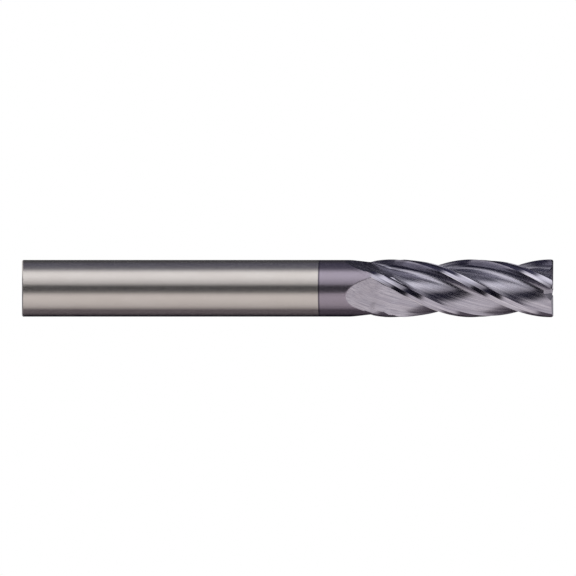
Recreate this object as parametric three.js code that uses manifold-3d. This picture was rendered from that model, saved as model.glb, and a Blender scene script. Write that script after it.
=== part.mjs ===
// A solid carbide end mill: four flutes, right-hand cut, right-hand helix, square end, small corner radius.
// Millimetres. The tool's axis is X: the shank's back face stands at x = 0, the cutting end at x = LENGTH.
// Z is up. Angles about the axis are counted from +Y towards +Z.
// The real tool is ground from one rod of carbide. It is divided here along its own boundaries: the bare
// shank, the coated neck with the flute run-outs, the web in the middle of the head, and the four teeth.
import * as THREE from "three";
import { ConvexGeometry } from "three/addons/geometries/ConvexGeometry.js";
import { mergeVertices } from "three/addons/utils/BufferGeometryUtils.js";
import Module from "manifold-3d";

const wasm = await Module();
wasm.setup();

const rad = THREE.MathUtils.degToRad;
const lerp = THREE.MathUtils.lerp;
const smooth = THREE.MathUtils.smoothstep;

// Driving dimensions
const LENGTH = 75;
const SHANK_RADIUS = 4;
const SHANK_CHAMFER = 0.15;
const SHANK_SIDES = 72;
const COATING_START = 42;
const HEAD_START = 49.8; // the plane where the neck ends and the fluted head begins
const HEAD_RADIUS = 4.075; // over the cutting edges
const TEETH = 4;
const LEAD = 45; // length of one full turn of a flute, for a helix of about 30 degrees
const TIP_ANGLE = rad(3.5); // where the first cutting edge reaches the end
const CORNER_RADIUS = 0.35;
const STATION_STEP = 0.7; // spacing of the cross-sections along the head

// Section of one flute and the tooth next to it, square to the axis, with the cutting edge at angle 0
const RAKE = rad(9);
const RAKE_LENGTH = 0.7;
const ROOT_FILLET = 1;
const ROOT_FILLET_END = rad(-175);
const HEEL_RADIUS = 0.934 * HEAD_RADIUS;
const HEEL_ANGLE = rad(70.25);
const HEEL_HEADING = rad(125); // direction in which the flute's back arrives at the heel
const BACK_HANDLE = 1;
const MARGIN_WIDTH = 0.63;
const MARGIN_RELIEF = rad(10);

// Run-out of the flutes, where the grinding wheel leaves the rod
const RUNOUT_START = 45.6;
const RUNOUT_AHEAD = rad(43.1); // how far the run-out faces ahead of the cutting edge, where that begins
const RUNOUT_SLOPE = 0.3;
const RUNOUT_CURVE = 0.01327;
const EDGE_START = 48.8;
const RELIEF_FULL = 50; // from here on the lands behind the edges have their full relief
const FLANK_SPREAD = rad(3);

// End of the tool
const DISH = rad(0.5);
const END_RELIEF = rad(9);
const END_OVERLAP = -0.2; // how far past the axis each tooth's end relief is ground
const GASH_SLOPE = rad(25);
const GASH_DEPTH = 0.315; // depth of the gash floor at the axis
const GASH_CENTRE = 0.3; // how far from the axis a gash starts
const LONG_GASH_TOOTH = 2; // the gash ahead of this tooth starts past the axis and shortens the next end edge
const LONG_GASH_CENTRE = -0.3;
const GASH_FLOOR = 0.62;
const GASH_STANDOFF = 0.05;
const BEYOND = 3; // how far the end cutters reach past the tool

const teeth = Array.from({ length: TEETH }, (_, tooth) => tooth);
const PITCH = (2 * Math.PI) / TEETH;
const TURN = (2 * Math.PI) / LEAD;
const edgeAngle = (x) => TIP_ANGLE + (x - LENGTH) * TURN;
const fromPolar = (radius, angle) => new THREE.Vector2(radius * Math.cos(angle), radius * Math.sin(angle));
const toPolar = (p) => ({ r: p.length(), a: Math.atan2(p.y, p.x) });

// The flute in front of a cutting edge: rake face, fillet at the root, back up to the next tooth's heel
const edgePoint = fromPolar(HEAD_RADIUS, 0);
const rakeEnd = edgePoint.clone().sub(fromPolar(RAKE_LENGTH, RAKE));
const filletCentre = rakeEnd.clone().add(fromPolar(ROOT_FILLET, RAKE + Math.PI / 2));
const underEdge = Math.asin(filletCentre.y / ROOT_FILLET) - Math.PI;
const filletArc = (from, to) =>
  new THREE.EllipseCurve(filletCentre.x, filletCentre.y, ROOT_FILLET, ROOT_FILLET, from, to, true);
const wallCurve = filletArc(RAKE - Math.PI / 2, underEdge);
const rootCurve = filletArc(underEdge, ROOT_FILLET_END);
const rootEnd = rootCurve.getPoint(1);
const heelPoint = fromPolar(HEEL_RADIUS, HEEL_ANGLE);
const backCurve = new THREE.CubicBezierCurve(
  rootEnd,
  rootEnd.clone().add(fromPolar(BACK_HANDLE, ROOT_FILLET_END - Math.PI / 2)),
  heelPoint.clone().sub(fromPolar(BACK_HANDLE, HEEL_HEADING)),
  heelPoint,
);
const wallPoints = [edgePoint, ...wallCurve.getPoints(2)].map(toPolar);
const wallBottom = wallPoints.at(-1).r;
const rootPoints = rootCurve.getPoints(4).slice(1).map(toPolar);
const backPoints = backCurve.getPoints(5).slice(1).map(toPolar);
const marginHeel = toPolar(edgePoint.clone().sub(fromPolar(MARGIN_WIDTH, Math.PI / 2 - MARGIN_RELIEF)));
const rootFacing = Math.atan2(filletCentre.y, filletCentre.x);
const WALL_FOOT = wallPoints.length - 1;
const BACK_FOOT = WALL_FOOT + rootPoints.length + 1;

// Radius of the rod before the flutes are cut, with the rounded corner at the end
function blankRadius(x) {
  const body = lerp(SHANK_RADIUS, HEAD_RADIUS, smooth(x, EDGE_START, RELIEF_FULL));
  const past = Math.max(0, x - (LENGTH - CORNER_RADIUS));
  return body - CORNER_RADIUS + Math.sqrt(Math.max(0, CORNER_RADIUS ** 2 - past ** 2));
}

// Radius of the flat facet that the wheel leaves at station x, in the direction a ahead of the edge
function runoutRadius(x, a) {
  const s = THREE.MathUtils.clamp(x - RUNOUT_START, 0, RUNOUT_SLOPE / (2 * RUNOUT_CURVE));
  const depth = SHANK_RADIUS - RUNOUT_SLOPE * s + RUNOUT_CURVE * s * s;
  const facing = Math.max(rootFacing, RUNOUT_AHEAD - (x - EDGE_START) * TURN);
  const cosine = Math.cos(a - facing);
  return cosine > 0.1 ? depth / cosine : Infinity;
}

// One quarter of the section at station x, from a cutting edge forward to just before the next one
function quarter(x) {
  const blank = blankRadius(x);
  const cut = smooth(x, EDGE_START, RELIEF_FULL);
  const ground = (full, { r, a }) => {
    const runout = Math.min(blank, runoutRadius(x, a));
    return { r: Math.min(blank, lerp(runout, full ? r : Math.max(r, runout), cut)), a };
  };
  const floor = (point) => ground(false, point);
  const land = (point) => ground(true, point);
  const spread = FLANK_SPREAD * (1 - cut);
  const foot = floor({ r: wallBottom, a: spread });
  const wall = wallPoints.map(({ r, a }, i) => {
    const share = (HEAD_RADIUS - r) / (HEAD_RADIUS - wallBottom);
    return { r: lerp(blank, foot.r, share), a: lerp((spread * i) / WALL_FOOT, a, cut) };
  });
  const hollow = [...rootPoints, ...backPoints.slice(0, -1)].map(floor);
  const margin = { r: marginHeel.r, a: PITCH + marginHeel.a };
  return [...wall, ...hollow, land(backPoints.at(-1)), land(margin)];
}

// Point of the section at station x in space. The section turns with the flutes and stands still before them.
function inSpace(x, tooth, { r, a }) {
  const angle = edgeAngle(Math.max(x, RUNOUT_START)) + tooth * PITCH + a;
  return new THREE.Vector3(x, r * Math.cos(angle), r * Math.sin(angle));
}

// Rings of points round the axis, one ring for each piece at station x. Under each tooth the web has a flat
// side that turns with the helix, from the back of one flute to the foot of the next rake face.
function neckRing(x) {
  const points = quarter(x);
  return teeth.flatMap((tooth) => points.map((p) => inSpace(x, tooth, p)));
}

function webRing(x) {
  const points = quarter(x);
  const flute = points.slice(WALL_FOOT, BACK_FOOT + 1);
  return teeth.flatMap((tooth) => flute.map((p) => inSpace(x, tooth, p)));
}

function toothRing(x, tooth) {
  const points = quarter(x);
  const behind = points.slice(BACK_FOOT).map(({ r, a }) => ({ r, a: a - PITCH }));
  const front = points.slice(0, WALL_FOOT + 1);
  return [...behind, ...front].map((p) => inSpace(x, tooth, p));
}

// A closed skin over rings that all have the same number of points, with flat ends
function loft(rings) {
  const count = rings[0].length;
  const index = [];
  for (let i = 0; i < rings.length - 1; i++) {
    for (let j = 0; j < count; j++) {
      const a = i * count + j;
      const b = i * count + ((j + 1) % count);
      index.push(a, b, b + count, a, b + count, a + count);
    }
  }
  const last = (rings.length - 1) * count;
  const flat = (ring) => ring.map((p) => new THREE.Vector2(p.y, p.z));
  const lid = (ring) => THREE.ShapeUtils.triangulateShape(flat(ring), []);
  lid(rings[0]).forEach(([a, b, c]) => index.push(c, b, a));
  lid(rings.at(-1)).forEach(([a, b, c]) => index.push(last + a, last + b, last + c));
  return new THREE.BufferGeometry().setFromPoints(rings.flat()).setIndex(index);
}

function stations(from, to, step) {
  const count = Math.ceil((to - from) / step);
  return Array.from({ length: count + 1 }, (_, i) => lerp(from, to, i / count));
}

const cornerStations = [30, 60, 90].map((t) => LENGTH - CORNER_RADIUS * (1 - Math.sin(rad(t))));
const headStations = [...stations(HEAD_START, LENGTH - CORNER_RADIUS, STATION_STEP), ...cornerStations];
const neckStations = [COATING_START, ...stations(RUNOUT_START, HEAD_START, STATION_STEP / 2)];

// A convex solid between a flat outline near the axis and one further out, both given in (forward, x)
function wedge(tooth, near, far) {
  const angle = TIP_ANGLE + tooth * PITCH;
  const outward = new THREE.Vector3(0, Math.cos(angle), Math.sin(angle));
  const forward = new THREE.Vector3(0, -Math.sin(angle), Math.cos(angle));
  const corner = (radius) => ([ahead, x]) =>
    new THREE.Vector3(x, 0, 0).addScaledVector(outward, radius).addScaledVector(forward, ahead);
  return new ConvexGeometry([near, far].flatMap(({ radius, points }) => points.map(corner(radius))));
}

// The gash that opens the end of a flute: a trough with a flat floor that slopes back as it runs outward
function gash(tooth) {
  const top = LENGTH + BEYOND;
  const trough = (radius) => {
    const x = LENGTH - GASH_DEPTH - radius * Math.tan(GASH_SLOPE);
    const wall = GASH_STANDOFF;
    const rim = GASH_STANDOFF + GASH_FLOOR;
    return { radius, points: [[wall, x], [rim, x], [rim + top - x, top], [wall, top]] };
  };
  const start = tooth === LONG_GASH_TOOTH ? LONG_GASH_CENTRE : GASH_CENTRE;
  return wedge(tooth, trough(start), trough(HEAD_RADIUS + BEYOND));
}

// What is ground off the end behind an end edge, which itself leans in slightly towards the axis
function endRelief(tooth) {
  const reach = HEAD_RADIUS + BEYOND;
  const outline = (radius) => {
    const x = LENGTH - (HEAD_RADIUS - radius) * Math.tan(DISH);
    const low = x - reach * Math.tan(END_RELIEF);
    return { radius, points: [[0, x], [-reach, low], [-reach, x + BEYOND], [0, x + BEYOND]] };
  };
  return wedge(tooth, outline(END_OVERLAP), outline(reach));
}

function solidOf(geometry) {
  const plain = geometry.clone();
  plain.deleteAttribute("normal");
  plain.deleteAttribute("uv");
  const merged = mergeVertices(plain);
  const vertProperties = merged.attributes.position.array;
  const triVerts = new Uint32Array(merged.index.array);
  return new wasm.Manifold(new wasm.Mesh({ numProp: 3, vertProperties, triVerts }));
}

function geometryOf(solid) {
  const { vertProperties, triVerts } = solid.getMesh();
  return new THREE.BufferGeometry()
    .setAttribute("position", new THREE.BufferAttribute(vertProperties, 3))
    .setIndex(new THREE.BufferAttribute(triVerts, 1));
}

const endCuts = teeth.flatMap((tooth) => [gash(tooth), endRelief(tooth)]).map(solidOf);
const groundEnd = (geometry) =>
  geometryOf(endCuts.reduce((solid, cut) => solid.subtract(cut), solidOf(geometry)));

const carbide = { color: 0xbdb6b2, metalness: 1, roughness: 0.32 };
const coating = { color: 0x75697c, metalness: 1, roughness: 0.3 };

function piece(name, geometry, look) {
  const mesh = new THREE.Mesh(geometry, new THREE.MeshStandardMaterial(look));
  mesh.name = name;
  return mesh;
}

function shank() {
  const profile = new THREE.Path()
    .moveTo(0, 0)
    .lineTo(SHANK_RADIUS - SHANK_CHAMFER, 0)
    .lineTo(SHANK_RADIUS, SHANK_CHAMFER)
    .lineTo(SHANK_RADIUS, COATING_START)
    .lineTo(0, COATING_START);
  const geometry = new THREE.LatheGeometry(profile.getPoints(), SHANK_SIDES);
  return piece("shank", geometry.rotateZ(-Math.PI / 2), carbide);
}

const neck = () => piece("coated_neck", loft(neckStations.map(neckRing)), coating);
const web = () => piece("flute_web", groundEnd(loft(headStations.map(webRing))), coating);
const tooth = (i) =>
  piece("tooth_" + (i + 1), groundEnd(loft(headStations.map((x) => toothRing(x, i)))), coating);

const endMill = new THREE.Group();
endMill.add(shank(), neck(), web(), ...teeth.map(tooth));

export default endMill;
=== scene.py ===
import math

import bmesh
import bpy
import numpy as np
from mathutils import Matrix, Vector


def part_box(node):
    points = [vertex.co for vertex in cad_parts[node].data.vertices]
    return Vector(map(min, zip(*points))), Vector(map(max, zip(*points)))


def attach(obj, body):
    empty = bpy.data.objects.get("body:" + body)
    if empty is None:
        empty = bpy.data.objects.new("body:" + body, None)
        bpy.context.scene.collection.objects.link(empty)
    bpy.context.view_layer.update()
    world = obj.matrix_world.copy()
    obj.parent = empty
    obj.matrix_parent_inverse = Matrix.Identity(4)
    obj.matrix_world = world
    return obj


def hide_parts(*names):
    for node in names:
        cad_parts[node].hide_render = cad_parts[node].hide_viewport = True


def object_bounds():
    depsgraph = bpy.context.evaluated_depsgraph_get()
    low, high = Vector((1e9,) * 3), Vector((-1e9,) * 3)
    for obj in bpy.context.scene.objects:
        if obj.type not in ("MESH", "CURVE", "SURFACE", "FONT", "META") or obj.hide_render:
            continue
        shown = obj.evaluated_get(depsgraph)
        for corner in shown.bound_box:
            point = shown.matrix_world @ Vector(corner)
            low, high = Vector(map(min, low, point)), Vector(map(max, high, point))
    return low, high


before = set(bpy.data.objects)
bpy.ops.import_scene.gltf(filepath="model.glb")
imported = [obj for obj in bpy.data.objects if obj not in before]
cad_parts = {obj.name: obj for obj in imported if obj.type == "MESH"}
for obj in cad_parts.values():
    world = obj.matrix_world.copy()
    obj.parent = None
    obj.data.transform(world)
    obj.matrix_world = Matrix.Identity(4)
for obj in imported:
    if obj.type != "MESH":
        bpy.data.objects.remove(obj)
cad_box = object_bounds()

MM = 0.001

# --------------------------------------------------------------------------------------------------
# The tool's own geometry, in the CAD frame and in metres: axis X, cutting end at +X, Z up.
# --------------------------------------------------------------------------------------------------
LENGTH = round(cad_box[1].x / MM) * MM  # nominal: the end relief leaves the CAD box a little shorter
SHANK_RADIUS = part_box("shank")[1].z
COATING_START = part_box("shank")[1].x
HEAD_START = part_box("coated_neck")[1].x
HEAD_RADIUS = 4.075 * MM
LEAD = 45 * MM
TEETH = 4
PITCH = 2 * math.pi / TEETH
TURN = 2 * math.pi / LEAD
TIP_ANGLE = math.radians(3.5)
CORNER_RADIUS = 0.35 * MM
SHANK_CHAMFER = 0.15 * MM

RAKE = math.radians(9)
RAKE_LENGTH = 0.7 * MM
ROOT_FILLET = 1 * MM
ROOT_FILLET_END = math.radians(-175)
HEEL_RADIUS = 0.934 * HEAD_RADIUS
HEEL_ANGLE = math.radians(70.25)
HEEL_HEADING = math.radians(125)
BACK_HANDLE = 1 * MM
MARGIN_WIDTH = 0.63 * MM
MARGIN_RELIEF = math.radians(10)

RUNOUT_START = 45.6 * MM
RUNOUT_AHEAD = math.radians(43.1)
RUNOUT_REACH = 4 * MM
RUNOUT_SLOPE = 0.3
RUNOUT_CURVE = 0.01327 / MM
EDGE_START = 48.8 * MM
RELIEF_FULL = 50 * MM
FLANK_SPREAD = math.radians(3)

DISH = math.radians(0.5)
END_RELIEF = math.radians(9)
END_OVERLAP = -0.2 * MM
GASH_SLOPE = math.radians(25)
GASH_DEPTH = 0.315 * MM
GASH_CENTRE = 0.3 * MM
LONG_GASH_TOOTH = 2
LONG_GASH_CENTRE = -0.3 * MM
GASH_FLOOR = 0.62 * MM
GASH_STANDOFF = 0.05 * MM
BEYOND = 3 * MM
WELD = 0.001 * MM

STATION_STEP = 0.14 * MM
ROOT_POINTS = 16
BACK_POINTS = 26
WALL_POINTS = 6
LAND_POINTS = 3
CORNER_STEP = 10  # degrees of the corner rounding between stations
SHANK_SIDES = 288
SHANK_RINGS = 40


def smooth(x, low, high):
    t = np.clip((x - low) / (high - low), 0, 1)
    return t * t * (3 - 2 * t)


def lerp(a, b, t):
    return a + (b - a) * t


def edge_angle(x):
    return TIP_ANGLE + (x - LENGTH) * TURN


def at_angle(radius, angle):
    return np.array([radius * math.cos(angle), radius * math.sin(angle)])


def to_polar(points):
    return [(math.hypot(*p), math.atan2(p[1], p[0])) for p in points]


def bezier(a, b, c, d, count):
    t = np.linspace(0, 1, count + 1)[:, None]
    return (1 - t) ** 3 * a + 3 * (1 - t) ** 2 * t * b + 3 * (1 - t) * t * t * c + t**3 * d


edge_point = at_angle(HEAD_RADIUS, 0)
rake_end = edge_point - at_angle(RAKE_LENGTH, RAKE)
fillet_centre = rake_end + at_angle(ROOT_FILLET, RAKE + math.pi / 2)
under_edge = math.asin(fillet_centre[1] / ROOT_FILLET) - math.pi


def fillet_arc(start, end, count):
    return [fillet_centre + at_angle(ROOT_FILLET, a) for a in np.linspace(start, end, count + 1)]


root_end = fillet_centre + at_angle(ROOT_FILLET, ROOT_FILLET_END)
heel_point = at_angle(HEEL_RADIUS, HEEL_ANGLE)
wall = to_polar([edge_point, *fillet_arc(RAKE - math.pi / 2, under_edge, WALL_POINTS)])
wall_bottom = wall[-1][0]
root = to_polar(fillet_arc(under_edge, ROOT_FILLET_END, ROOT_POINTS))[1:]
back = to_polar(
    bezier(
        root_end,
        root_end + at_angle(BACK_HANDLE, ROOT_FILLET_END - math.pi / 2),
        heel_point - at_angle(BACK_HANDLE, HEEL_HEADING),
        heel_point,
        BACK_POINTS,
    )
)[1:]
margin_heel = edge_point - MARGIN_WIDTH * np.array([math.sin(MARGIN_RELIEF), math.cos(MARGIN_RELIEF)])
ROOT_FACING = math.atan2(fillet_centre[1], fillet_centre[0])
WALL_FOOT = len(wall) - 1
BACK_FOOT = WALL_FOOT + len(root) + round(BACK_POINTS / 5)


def lands():
    """The two straight relief facets, from the heel to just before the next cutting edge."""
    turn = np.array([[math.cos(PITCH), -math.sin(PITCH)], [math.sin(PITCH), math.cos(PITCH)]])
    margin = turn @ margin_heel
    edge = turn @ edge_point
    steps = np.linspace(0, 1, LAND_POINTS + 1)
    secondary = [lerp(heel_point, margin, t) for t in steps[1:]]
    primary = [lerp(margin, edge, t) for t in steps[1:-1]]
    return to_polar(secondary + primary)


land = lands()


def blank_radius(x):
    body = lerp(SHANK_RADIUS, HEAD_RADIUS, smooth(x, EDGE_START, RELIEF_FULL))
    past = max(0, x - (LENGTH - CORNER_RADIUS))
    return body - CORNER_RADIUS + math.sqrt(max(0, CORNER_RADIUS**2 - past**2))


def runout_radius(x, a):
    s = min(max(0, x - RUNOUT_START), RUNOUT_SLOPE / (2 * RUNOUT_CURVE))
    depth = RUNOUT_REACH - RUNOUT_SLOPE * s + RUNOUT_CURVE * s * s
    facing = max(ROOT_FACING, RUNOUT_AHEAD - (x - EDGE_START) * TURN)
    cosine = math.cos(a - facing)
    return depth / cosine if cosine > 0.1 else math.inf


def quarter(x):
    """One quarter of the section at station x as (radius, angle) pairs, from a cutting edge to the next."""
    blank = blank_radius(x)
    cut = smooth(x, EDGE_START, RELIEF_FULL)

    def ground(r, a, open_land):
        runout = min(blank, runout_radius(x, a))
        return min(blank, lerp(runout, r if open_land else max(r, runout), cut)), a

    spread = FLANK_SPREAD * (1 - cut)
    foot = ground(wall_bottom, spread, False)[0]
    points = []
    for i, (r, a) in enumerate(wall):
        share = (HEAD_RADIUS - r) / (HEAD_RADIUS - wall_bottom)
        points.append((lerp(blank, foot, share), lerp(spread * i / WALL_FOOT, a, cut)))
    points += [ground(r, a, False) for r, a in [*root, *back[:-1]]]
    points += [ground(r, a, True) for r, a in [back[-1], *land]]
    return points


def in_space(x, tooth, point):
    r, a = point
    angle = edge_angle(max(x, RUNOUT_START)) + tooth * PITCH + a
    return x, r * math.cos(angle), r * math.sin(angle)


def neck_ring(x):
    points = quarter(x)
    return [in_space(x, t, p) for t in range(TEETH) for p in points]


def web_ring(x):
    flute = quarter(x)[WALL_FOOT : BACK_FOOT + 1]
    return [in_space(x, t, p) for t in range(TEETH) for p in flute]


def tooth_ring(x, tooth):
    points = quarter(x)
    behind = [(r, a - PITCH) for r, a in points[BACK_FOOT:]]
    return [in_space(x, tooth, p) for p in [*behind, *points[: WALL_FOOT + 1]]]


def mesh_object(name, verts, faces):
    mesh = bpy.data.meshes.new(name)
    mesh.from_pydata([tuple(v) for v in verts], [], faces)
    mesh.update()
    piece = bpy.data.objects.new(name, mesh)
    bpy.context.scene.collection.objects.link(piece)
    return piece


def loft(name, rings):
    """A closed skin over rings that all have the same number of points, with flat ends."""
    count = len(rings[0])
    faces = []
    for i in range(len(rings) - 1):
        for j in range(count):
            a = i * count + j
            b = i * count + (j + 1) % count
            faces.append((a, b, b + count, a + count))
    last = (len(rings) - 1) * count
    faces.append(tuple(reversed(range(count))))
    faces.append(tuple(range(last, last + count)))
    return mesh_object(name, [p for ring in rings for p in ring], faces)


def stations(start, end, step):
    return list(np.linspace(start, end, max(2, math.ceil((end - start) / step)) + 1))


corner = [
    LENGTH - CORNER_RADIUS * (1 - math.sin(math.radians(t)))
    for t in range(CORNER_STEP, 91, CORNER_STEP)
]
head_stations = stations(HEAD_START, LENGTH - CORNER_RADIUS, STATION_STEP) + corner
neck_stations = [COATING_START, *stations(RUNOUT_START, HEAD_START, STATION_STEP / 2)]


WEDGE_FACES = [
    (0, 1, 2, 3),
    (7, 6, 5, 4),
    (0, 4, 5, 1),
    (1, 5, 6, 2),
    (2, 6, 7, 3),
    (3, 7, 4, 0),
]


def wedge(name, tooth, near, far):
    """A convex cutter between one outline near the axis and one further out, both in (forward, x)."""
    angle = TIP_ANGLE + tooth * PITCH
    outward = Vector((0, math.cos(angle), math.sin(angle)))
    forward = Vector((0, -math.sin(angle), math.cos(angle)))
    verts = []
    for radius, outline in (near, far):
        verts += [Vector((x, 0, 0)) + outward * radius + forward * ahead for ahead, x in outline]
    cutter = mesh_object(name, verts, WEDGE_FACES)
    fix = bmesh.new()
    fix.from_mesh(cutter.data)
    bmesh.ops.recalc_face_normals(fix, faces=fix.faces)
    fix.to_mesh(cutter.data)
    fix.free()
    return cutter


def gash(tooth):
    """The notch in front of a tooth's end edge, deeper towards the outside."""
    top = LENGTH + BEYOND

    def trough(radius):
        x = LENGTH - GASH_DEPTH - radius * math.tan(GASH_SLOPE)
        near_wall = GASH_STANDOFF
        rim = GASH_STANDOFF + GASH_FLOOR
        return radius, [(near_wall, x), (rim, x), (rim + top - x, top), (near_wall, top)]

    start = LONG_GASH_CENTRE if tooth == LONG_GASH_TOOTH else GASH_CENTRE
    return wedge(f"gash_{tooth}", tooth, trough(start), trough(HEAD_RADIUS + BEYOND))


def end_relief(tooth):
    """The flat ground behind a tooth's end edge, which itself sinks a little towards the axis."""
    reach = HEAD_RADIUS + BEYOND
    drop = reach * math.tan(END_RELIEF)

    def outline(radius):
        x = LENGTH - (HEAD_RADIUS - radius) * math.tan(DISH)
        return radius, [(0, x), (-reach, x - drop), (-reach, x + BEYOND), (0, x + BEYOND)]

    return wedge(f"relief_{tooth}", tooth, outline(END_OVERLAP), outline(reach))


def end_cutters():
    return [cut(tooth) for tooth in range(TEETH) for cut in (gash, end_relief)]


def islands(body):
    """The groups of joined vertices of a bmesh."""
    seen = set()
    found = []
    for first in body.verts:
        if first in seen:
            continue
        seen.add(first)
        island = [first]
        for vert in island:
            for edge in vert.link_edges:
                other = edge.other_vert(vert)
                if other not in seen:
                    seen.add(other)
                    island.append(other)
        found.append(island)
    return found


def clean(mesh):
    """Welds points closer than WELD, and removes faces without area and scraps that hang on to nothing."""
    body = bmesh.new()
    body.from_mesh(mesh)
    bmesh.ops.remove_doubles(body, verts=body.verts, dist=WELD)
    bmesh.ops.dissolve_degenerate(body, edges=body.edges, dist=WELD)
    scraps = sorted(islands(body), key=len)[:-1]
    bmesh.ops.delete(body, geom=[vert for scrap in scraps for vert in scrap], context="VERTS")
    body.to_mesh(mesh)
    body.free()


def cut_end(piece, cutters):
    """Grinds the gashes and end reliefs out of the piece, and leaves a plain mesh."""
    for cutter in cutters:
        step = piece.modifiers.new(cutter.name, "BOOLEAN")
        step.operation = "DIFFERENCE"
        step.solver = "MANIFOLD"
        step.object = cutter
    graph = bpy.context.evaluated_depsgraph_get()
    done = bpy.data.meshes.new_from_object(piece.evaluated_get(graph), depsgraph=graph)
    piece.modifiers.clear()
    clean(done)
    piece.data = done
    return piece


def shade(piece, sharp_degrees):
    mesh = piece.data
    mesh.shade_smooth()
    mesh.set_sharp_from_angle(angle=math.radians(sharp_degrees))
    return piece


def shank():
    """The bare shank as a finely divided turned solid with a small chamfer at the back."""
    profile = [(0, SHANK_RADIUS - SHANK_CHAMFER), (SHANK_CHAMFER, SHANK_RADIUS)]
    profile += [(x, SHANK_RADIUS) for x in np.linspace(SHANK_CHAMFER, COATING_START, SHANK_RINGS)[1:]]
    around = np.linspace(0, 2 * math.pi, SHANK_SIDES, endpoint=False)
    rings = [[(x, r * math.cos(a), r * math.sin(a)) for a in around] for x, r in profile]
    return loft("shank_body", rings)


# --------------------------------------------------------------------------------------------------
# Materials
# --------------------------------------------------------------------------------------------------
class Graph:
    """A short way to write a material's nodes."""

    def __init__(self, tree):
        self.tree = tree

    def node(self, kind, inputs=None, **settings):
        made = self.tree.nodes.new(kind)
        for key, value in settings.items():
            setattr(made, key, value)
        for key, value in (inputs or {}).items():
            if isinstance(value, bpy.types.NodeSocket):
                self.tree.links.new(value, made.inputs[key])
            else:
                made.inputs[key].default_value = value
        return made

    def math(self, operation, a, b=0.0, c=0.0):
        return self.node("ShaderNodeMath", {0: a, 1: b, 2: c}, operation=operation).outputs[0]

    def ramp(self, value, low, high, out_low=0.0, out_high=1.0):
        """out_low where value is at low, out_high at high, and a soft step from one to the other."""
        ranged = self.node(
            "ShaderNodeMapRange",
            {"Value": value, "From Min": low, "From Max": high, "To Min": out_low, "To Max": out_high},
            interpolation_type="SMOOTHSTEP",
        )
        return ranged.outputs[0]

    def mix(self, factor, a, b):
        mixed = self.node("ShaderNodeMix", data_type="RGBA")
        for socket, value in zip((mixed.inputs[0], mixed.inputs[6], mixed.inputs[7]), (factor, a, b)):
            if isinstance(value, bpy.types.NodeSocket):
                self.tree.links.new(value, socket)
            else:
                socket.default_value = value
        return mixed.outputs[2]

    def between(self, share, a, b):
        """The number a where share is 0 and b where it is 1."""
        return self.math("MULTIPLY_ADD", self.math("SUBTRACT", b, a), share, a)

    def link(self, source, target):
        self.tree.links.new(source, target)

    def noise(self, vector, scale, detail=2.0, rough=0.5):
        made = self.node(
            "ShaderNodeTexNoise", {"Vector": vector, "Scale": scale, "Detail": detail, "Roughness": rough}
        )
        return made.outputs["Fac"]

    def vector(self, x, y, z):
        return self.node("ShaderNodeCombineXYZ", {0: x, 1: y, 2: z}).outputs[0]


def tool_coordinates(g):
    """The place along the axis, the distance from it and the angle round it, then y and z: mm and radians."""
    split = g.node("ShaderNodeSeparateXYZ", {0: g.node("ShaderNodeTexCoord").outputs["Object"]}).outputs
    x, y, z = (g.math("MULTIPLY", split[i], 1 / MM) for i in range(3))
    radius = g.math("SQRT", g.math("ADD", g.math("MULTIPLY", y, y), g.math("MULTIPLY", z, z)))
    angle = g.math("ARCTAN2", z, y)
    return x, radius, angle, y, z


def metal(name, class_colour):
    made = bpy.data.materials.new(name)
    made.use_nodes = True
    shader = made.node_tree.nodes["Principled BSDF"]
    shader.inputs["Base Color"].default_value = (*class_colour, 1)
    shader.inputs["Metallic"].default_value = 1.0
    return made, shader, Graph(made.node_tree)


# Colours of the metal, before the light, except for the painted shade at the start of the flutes and the
# painted highlight along the cutting edges.
GROUND_DARK = (0.475, 0.455, 0.435, 1)
GROUND_LIGHT = (0.585, 0.562, 0.537, 1)
GROUND_STAIN = (0.455, 0.425, 0.40, 1)
GROUND_SCRATCH = (0.75, 0.735, 0.72, 1)
COAT_DARK = (0.235, 0.209, 0.26, 1)
COAT_LIGHT = (0.325, 0.292, 0.35, 1)
COAT_STAIN = (0.27, 0.24, 0.28, 1)
COAT_EDGE = (0.06, 0.05, 0.08, 1)
FLUTE_DARK = (0.21, 0.208, 0.265, 1)
FLUTE_LIGHT = (0.64, 0.63, 0.70, 1)
FLUTE_STREAK = (0.25, 0.245, 0.32, 1)
# Painted shade: the duller grey that darkens the flutes where they run out.
RUNOUT_PAINTED_SHADE = (0.27, 0.26, 0.295, 1)
# Partly wear and partly a painted highlight: the bright line along the cutting edges.
EDGE_WEAR_AND_HIGHLIGHT = (0.72, 0.70, 0.70, 1)

# Roughness, from the smoothest grinding line to the roughest.
TURNED_ROUGHNESS = (0.20, 0.24)
FLUTE_ROUGHNESS = (0.19, 0.30)
LAND_ROUGHNESS = (0.12, 0.18)

# Metalness, and how far the grinding lines smear the reflections. The direction is a share of a full turn
# from the tangent round the axis: along the axis on the cylinder, and turned by the helix angle on the head.
TURNED_METAL = 0.9
TURNED_ANISOTROPY = 0.98
COAT_ANISOTROPY = 0.95
ALONG_AXIS = 0.25
HELIX_SHARE = -1 / 12

# Places in millimetres: along the tool's axis, or out from it. The first of a pair is where a zone fades
# out, and the second is where it is full.
HEAD_ZONE = (48.6, 49.6)
RUNOUT_ZONE = (3.992, 3.97)
LAND_ZONE = (3.78, 3.82)
LAND_START = (49.0, 49.8)
# Where the painted shade at the start of the flutes fades out, and where it is full.
RUNOUT_SHADE = (51.5, 49.5)
COATING_BULGE = 0.17
COATING_LINE = 0.15
COATING_EDGE = 0.02

# The cosine of the tooth phase within which the cutting edge gets a bright line, partly wear and partly a
# painted highlight.
EDGE_WEAR_AND_HIGHLIGHT_PHASE = (0.9965, 0.9995)


def bump(shader, g, height, strength, distance):
    made = g.node("ShaderNodeBump", {"Strength": strength, "Distance": distance * MM, "Height": height})
    g.link(made.outputs[0], shader.inputs["Normal"])


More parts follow.
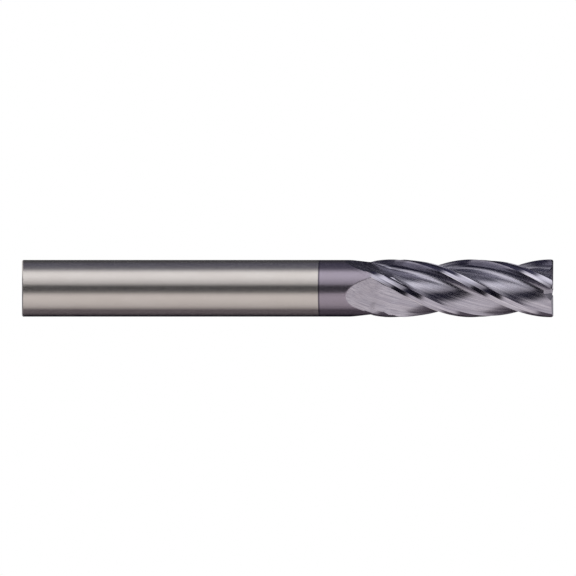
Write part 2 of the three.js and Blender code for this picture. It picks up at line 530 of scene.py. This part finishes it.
def coat_tone(g, rings):
    return g.mix(rings, COAT_DARK, COAT_LIGHT)


def smear_round_axis(g, shader):
    tangent = g.node("ShaderNodeTangent", direction_type="RADIAL", axis="X").outputs[0]
    g.link(tangent, shader.inputs["Tangent"])


# The noise patterns below are laid out in millimetres. A large factor on x makes rings round the tool, and a
# small one stretches a pattern along it.
def bare_carbide():
    """Cylindrically ground carbide: warm grey and satin, with fine rings, faint stains and scratches.

    The coating's edge crosses its last fraction of a millimetre, bowed, with a thin dark line along it."""
    made, shader, g = metal("bare_ground_carbide", (0.56, 0.54, 0.53))
    x, radius, angle, y, z = tool_coordinates(g)
    rings_at = g.math("MULTIPLY", g.math("ADD", x, radius), 22)
    rings = g.noise(g.vector(rings_at, g.math("MULTIPLY", y, 0.35), z), 1.0, 3, 0.6)
    cloud = g.noise(g.vector(g.math("MULTIPLY", x, 0.35), y, z), 0.5, 3, 0.55)
    scratch = g.noise(g.vector(g.math("MULTIPLY", x, 9), g.math("MULTIPLY", angle, 1.3), 3.0), 1.0, 2, 0.5)
    tone = g.mix(rings, GROUND_DARK, GROUND_LIGHT)
    tone = g.mix(g.ramp(cloud, 0.35, 0.7, 0.0, 0.25), tone, GROUND_STAIN)
    tone = g.mix(g.ramp(scratch, 0.66, 0.74, 0.0, 0.25), tone, GROUND_SCRATCH)
    front = g.math("MAXIMUM", g.math("MULTIPLY", y, -MM / SHANK_RADIUS), 0)
    edge = g.math("SUBTRACT", COATING_START / MM, g.math("MULTIPLY", front, COATING_BULGE))
    before = g.math("SUBTRACT", edge, x)
    tone = g.mix(g.ramp(before, COATING_EDGE, -COATING_EDGE), tone, coat_tone(g, rings))
    on_line = g.ramp(g.math("ABSOLUTE", before), COATING_LINE, 0.05, 0.0, 0.85)
    g.link(g.mix(on_line, tone, COAT_EDGE), shader.inputs["Base Color"])
    g.link(g.ramp(rings, 0.3, 0.7, *TURNED_ROUGHNESS), shader.inputs["Roughness"])
    shader.inputs["Metallic"].default_value = TURNED_METAL
    shader.inputs["Anisotropic"].default_value = TURNED_ANISOTROPY
    shader.inputs["Anisotropic Rotation"].default_value = ALONG_AXIS
    smear_round_axis(g, shader)
    bump(shader, g, scratch, 0.1, 0.001)
    return made


def coated_carbide():
    """The purple-grey nitride coating over ground carbide.

    Grinding lines run round the neck and along the flutes, and the lands are polished. The cutting edges have
    a bright line that is partly wear and partly a painted highlight, and painted shade darkens the flutes
    where they run out."""
    made, shader, g = metal("coated_carbide", (0.32, 0.27, 0.36))
    x, radius, angle, y, z = tool_coordinates(g)
    across = g.math("SUBTRACT", angle, g.math("MULTIPLY", x, TURN * MM))

    def along_flutes(fineness, depth):
        return g.vector(
            g.math("MULTIPLY", g.math("COSINE", across), fineness),
            g.math("MULTIPLY", g.math("SINE", across), fineness),
            g.math("ADD", g.math("MULTIPLY", x, 0.12), g.math("MULTIPLY", radius, depth)),
        )

    flutes = g.noise(along_flutes(17, 4), 1.0, 4, 0.72)
    streaks = g.noise(along_flutes(5, 1), 1.0, 2, 0.5)
    rings = g.noise(g.vector(g.math("MULTIPLY", x, 20), g.math("MULTIPLY", y, 0.4), z), 1.0, 3, 0.6)
    cloud = g.noise(g.vector(g.math("MULTIPLY", x, 0.8), y, z), 0.6, 4, 0.6)
    on_head = g.math("MAXIMUM", g.ramp(x, *HEAD_ZONE), g.ramp(radius, *RUNOUT_ZONE))
    on_land = g.math("MULTIPLY", g.ramp(radius, *LAND_ZONE), g.ramp(x, *LAND_START))
    edge_phase = (TIP_ANGLE - LENGTH * TURN) % PITCH
    by_edge = g.math("COSINE", g.math("MULTIPLY", g.math("SUBTRACT", across, edge_phase), TEETH))
    # A thin bright line along the cutting edges, patchy over the lands: partly wear, partly a painted
    # highlight.
    worn_and_highlit_land = g.math("MULTIPLY", on_land, g.ramp(cloud, 0.3, 0.6))
    worn_and_highlit = g.math("MULTIPLY", g.ramp(by_edge, *EDGE_WEAR_AND_HIGHLIGHT_PHASE), worn_and_highlit_land)

    head_tone = g.mix(g.ramp(flutes, 0.25, 0.75), FLUTE_DARK, FLUTE_LIGHT)
    head_tone = g.mix(g.ramp(streaks, 0.3, 0.7, 0.0, 0.3), head_tone, FLUTE_STREAK)
    # Painted shade: the flutes are darkened where they run out, next to the neck.
    head_tone = g.mix(g.ramp(x, *RUNOUT_SHADE, 0.0, 0.3), head_tone, RUNOUT_PAINTED_SHADE)
    tone = g.mix(on_head, coat_tone(g, rings), head_tone)
    tone = g.mix(g.ramp(cloud, 0.35, 0.7, 0.0, 0.25), tone, COAT_STAIN)
    # Painted highlight, partly wear: the bright line along the cutting edges.
    tone = g.mix(g.math("MULTIPLY", worn_and_highlit, 0.6), tone, EDGE_WEAR_AND_HIGHLIGHT)
    g.link(tone, shader.inputs["Base Color"])
    neck_rough = g.ramp(rings, 0.3, 0.7, *TURNED_ROUGHNESS)
    ground = g.between(on_head, neck_rough, g.ramp(flutes, 0.3, 0.7, *FLUTE_ROUGHNESS))
    land_rough = g.ramp(flutes, 0.3, 0.7, *LAND_ROUGHNESS)
    g.link(g.between(on_land, ground, land_rough), shader.inputs["Roughness"])
    g.link(g.ramp(on_head, 0, 1, TURNED_METAL, 1.0), shader.inputs["Metallic"])
    shader.inputs["Anisotropic"].default_value = COAT_ANISOTROPY
    g.link(g.ramp(on_head, 0, 1, ALONG_AXIS, HELIX_SHARE), shader.inputs["Anisotropic Rotation"])
    smear_round_axis(g, shader)
    bump(shader, g, g.math("MULTIPLY", flutes, on_head), 0.25, 0.004)
    return made


# --------------------------------------------------------------------------------------------------
# Light, floor and camera
# --------------------------------------------------------------------------------------------------
# The studio round the tool, as its reflections see it: two long soft boxes on either side of a dark gap in
# which the camera stands, all turned by BOX_TILT from the tool's axis. Places are in degrees away from the
# camera's direction: along the boxes, and across them towards the upper box. BOX_LEAN turns the boxes' own
# outlines a little further.
BOX_TILT = math.radians(50)
BOX_LEAN = math.radians(19)
DARK = (0.03, 0.028, 0.055, 1)
UPPER_BOX = (1.48, 1.45, 1.47, 1)
UPPER_RIM = (0.62, 0.59, 0.60, 1)
LOWER_BOX = (1.06, 0.985, 0.965, 1)
UPPER_WALL = (0.06, 0.058, 0.11, 1)
LOWER_WALL = (0.16, 0.13, 0.15, 1)
END_WALL = (0.42, 0.40, 0.42, 1)
SIDE_BOX = (0.95, 0.93, 0.94, 1)
DARK_SPOT = (0.004, 0.003, 0.010, 1)
BEHIND = (0.006, 0.005, 0.012, 1)

# The soft edges of those lights, in degrees, each from where the light is out to where it is full.
UPPER_SLANT = (10, 22)
UPPER_SLANT_SHARE = 0.6
UPPER_BOTTOM = (3, 9)
UPPER_TOP = (73, 58)
UPPER_START = (-27, -6)
UPPER_END = (125, 100)
UPPER_RIM_EDGE = (8, 30)
LOWER_TOP = (-13, -22)
LOWER_NARROWING = (15, 45, 0, 18)
LOWER_BOTTOM = (-92, -80)
LOWER_START = (-54, -36)
LOWER_END = (95, 65)
SPOT_EDGE = (32, 20)
BEHIND_EDGE = (115, 150)
END_WALL_EDGE = (80, 112)
UPPER_WALL_START = (10, 75)
UPPER_WALL_BOTTOM = (0, 40)
UPPER_WALL_EDGE = (140, 112)
LOWER_WALL_TOP = (0, -30)
LOWER_WALL_EDGE = (40, 80)
SIDE_BOX_BOTTOM = (88, 98)
SIDE_BOX_START = (-75, -55)
SIDE_BOX_END = (30, 10)


def studio_light():
    """White for the camera and for soft light on the floor, and the studio for reflections."""
    world = bpy.data.worlds.new("studio")
    bpy.context.scene.world = world
    world.use_nodes = True
    g = Graph(world.node_tree)
    for old in list(g.tree.nodes):
        g.tree.nodes.remove(old)
    direction = g.node("ShaderNodeTexCoord").outputs["Generated"]
    x, y, z = g.node("ShaderNodeSeparateXYZ", {0: direction}).outputs[:3]
    away = g.math("MULTIPLY", g.math("ARCCOSINE", g.math("MULTIPLY", y, -1.0)), 180 / math.pi)
    squares = g.math("MULTIPLY_ADD", x, x, g.math("MULTIPLY_ADD", z, z, 1e-6))
    side = g.math("SQRT", squares)
    right = g.math("MULTIPLY", away, g.math("DIVIDE", x, side))
    up = g.math("MULTIPLY", away, g.math("DIVIDE", z, side))
    cos_tilt, sin_tilt = math.cos(BOX_TILT), math.sin(BOX_TILT)
    along = g.math("ADD", g.math("MULTIPLY", right, cos_tilt), g.math("MULTIPLY", up, sin_tilt))
    across = g.math("SUBTRACT", g.math("MULTIPLY", up, cos_tilt), g.math("MULTIPLY", right, sin_tilt))

    def every(*shares):
        whole = shares[0]
        for share in shares[1:]:
            whole = g.math("MULTIPLY", whole, share)
        return whole

    cos_lean, sin_lean = math.cos(BOX_LEAN), math.sin(BOX_LEAN)
    box_along = g.math("SUBTRACT", g.math("MULTIPLY", along, cos_lean), g.math("MULTIPLY", across, sin_lean))
    box_across = g.math("ADD", g.math("MULTIPLY", along, sin_lean), g.math("MULTIPLY", across, cos_lean))
    upper = every(
        g.ramp(g.math("MULTIPLY_ADD", along, UPPER_SLANT_SHARE, across), *UPPER_SLANT),
        g.ramp(across, *UPPER_BOTTOM),
        g.ramp(box_across, *UPPER_TOP),
        g.ramp(box_along, *UPPER_START),
        g.ramp(along, *UPPER_END),
    )
    lower = every(
        g.ramp(g.math("SUBTRACT", box_across, g.ramp(along, *LOWER_NARROWING)), *LOWER_TOP),
        g.ramp(box_across, *LOWER_BOTTOM),
        g.ramp(box_along, *LOWER_START),
        g.ramp(along, *LOWER_END),
    )
    upper_wall = every(
        g.ramp(along, *UPPER_WALL_START),
        g.ramp(across, *UPPER_WALL_BOTTOM),
        g.ramp(away, *UPPER_WALL_EDGE),
    )
    lower_wall = every(g.ramp(across, *LOWER_WALL_TOP), g.ramp(away, *LOWER_WALL_EDGE))
    side_box = every(
        g.ramp(across, *SIDE_BOX_BOTTOM),
        g.ramp(along, *SIDE_BOX_END),
        g.ramp(along, *SIDE_BOX_START),
    )
    colour = g.mix(upper_wall, DARK, UPPER_WALL)
    colour = g.mix(lower_wall, colour, LOWER_WALL)
    colour = g.mix(g.ramp(away, *SPOT_EDGE), colour, DARK_SPOT)
    colour = g.mix(g.ramp(away, *BEHIND_EDGE), colour, BEHIND)
    colour = g.mix(g.ramp(g.math("ABSOLUTE", right), *END_WALL_EDGE), colour, END_WALL)
    colour = g.mix(side_box, colour, SIDE_BOX)
    colour = g.mix(upper, colour, g.mix(g.ramp(across, *UPPER_RIM_EDGE), UPPER_RIM, UPPER_BOX))
    colour = g.mix(lower, colour, LOWER_BOX)
    reflected = g.node("ShaderNodeBackground", {"Color": colour, "Strength": 1.0}).outputs[0]
    plain = g.node("ShaderNodeBackground", {"Color": (1, 1, 1, 1), "Strength": 1.0}).outputs[0]
    glossy = g.node("ShaderNodeLightPath").outputs["Is Glossy Ray"]
    both = g.node("ShaderNodeMixShader", {0: glossy, 1: plain, 2: reflected}).outputs[0]
    g.node("ShaderNodeOutputWorld", {"Surface": both})


FLOOR_HALF_WIDTH = 6
FLOOR_TONE = 0.985
FLOOR_ROUGHNESS = 0.9
VIEW_CENTRE = (37.53 * MM, 0, 0.044 * MM)
VIEW_WIDTH = 81.26 * MM
CAMERA_DISTANCE = 0.5


def floor():
    """A wide pale floor that the tool lies on. Reflections pass through it, so they show only the studio."""
    low = cad_box[0].z
    half = FLOOR_HALF_WIDTH
    corners = [(-half, -half, low), (half, -half, low), (half, half, low), (-half, half, low)]
    made = mesh_object("floor", corners, [(0, 1, 2, 3)])
    paint = bpy.data.materials.new("pale_floor")
    paint.use_nodes = True
    shader = paint.node_tree.nodes["Principled BSDF"]
    shader.inputs["Base Color"].default_value = (FLOOR_TONE, FLOOR_TONE, FLOOR_TONE, 1)
    shader.inputs["Roughness"].default_value = FLOOR_ROUGHNESS
    shader.inputs["Specular IOR Level"].default_value = 0.0
    made.data.materials.append(paint)
    made.visible_glossy = False


def camera():
    """Level with the tool's axis and square to it."""
    back = Vector((0, -1, 0))
    data = bpy.data.cameras.new("camera")
    data.type = "ORTHO"
    data.ortho_scale = VIEW_WIDTH
    data.clip_start = 0.01
    data.clip_end = 10
    made = bpy.data.objects.new("camera", data)
    made.location = Vector(VIEW_CENTRE) + back * CAMERA_DISTANCE
    made.rotation_mode = "QUATERNION"
    made.rotation_quaternion = (-back).to_track_quat("-Z", "Y")
    bpy.context.scene.collection.objects.link(made)
    bpy.context.scene.camera = made


# --------------------------------------------------------------------------------------------------
# The tool
# --------------------------------------------------------------------------------------------------
# The angle between two faces, in degrees, above which the edge between them stays crisp.
SHANK_CRISP = 20
NECK_CRISP = 9
HEAD_CRISP = 12


def finish_piece(piece, node, material, sharp_degrees):
    piece.data.materials.clear()
    piece.data.materials.append(material)
    shade(piece, sharp_degrees)
    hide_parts(node)
    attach(piece, "root")


def tool():
    bare = bare_carbide()
    coated = coated_carbide()
    cutters = end_cutters()
    finish_piece(shank(), "shank", bare, SHANK_CRISP)
    neck = loft("neck_body", [neck_ring(x) for x in neck_stations])
    finish_piece(neck, "coated_neck", coated, NECK_CRISP)
    web = cut_end(loft("web_body", [web_ring(x) for x in head_stations]), cutters)
    finish_piece(web, "flute_web", coated, HEAD_CRISP)
    for tooth in range(TEETH):
        body = loft(f"tooth_body_{tooth + 1}", [tooth_ring(x, tooth) for x in head_stations])
        finish_piece(cut_end(body, cutters), f"tooth_{tooth + 1}", coated, HEAD_CRISP)
    for cutter in cutters:
        bpy.data.objects.remove(cutter)


tool()
studio_light()
floor()
camera()
bpy.context.scene.view_settings.view_transform = "Standard"
